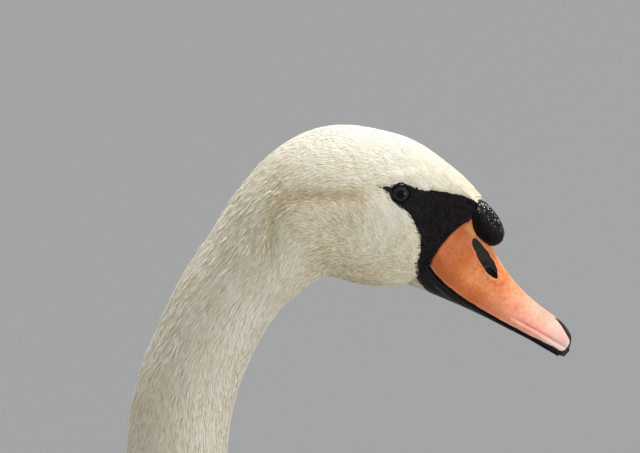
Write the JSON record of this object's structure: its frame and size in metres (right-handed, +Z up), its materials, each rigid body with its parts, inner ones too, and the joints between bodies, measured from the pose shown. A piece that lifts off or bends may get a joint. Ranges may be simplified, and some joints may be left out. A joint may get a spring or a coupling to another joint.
{
  "type": "mute swan",
  "caption": "Adult mute swan resting on its belly with folded wings, an upright curved neck and the head facing forward.",
  "frame": {"origin": "middle of the bounding box, on the floor under the belly", "axes": "+X towards the bill, +Y to the bird's left, +Z up"},
  "size_m": [0.8596, 0.3192, 0.7333],
  "materials": {
    "white_plumage": "soft, matt feathers, ivory white with a cream crown",
    "orange_horn": "satin horn, orange at the base and pink towards the tip",
    "black_horn": "smooth black horn",
    "black_skin": "velvety black skin, slightly glossy on the knob",
    "dark_eye": "wet, glossy, very dark brown",
    "grey_black_foot": "matt scaly skin, dark grey to black"
  },
  "bodies": {
    "root": {"head": "white_plumage", "neck_upper": "white_plumage", "neck_middle": "white_plumage", "neck_lower": "white_plumage", "trunk": "white_plumage", "wing_left": "white_plumage", "wing_right": "white_plumage", "flight_left": "white_plumage", "flight_right": "white_plumage", "tail": "white_plumage", "thigh_left": "white_plumage", "thigh_right": "white_plumage", "bill_upper": "orange_horn", "bill_nail": "black_horn", "bill_lower": "black_horn", "knob": "black_skin", "eye_left": "dark_eye", "eye_right": "dark_eye", "shank_left": "grey_black_foot", "shank_right": "grey_black_foot", "foot_left": "grey_black_foot", "foot_right": "grey_black_foot", "hind_toe_left": "grey_black_foot", "hind_toe_right": "grey_black_foot"}
  },
  "joints": []
}
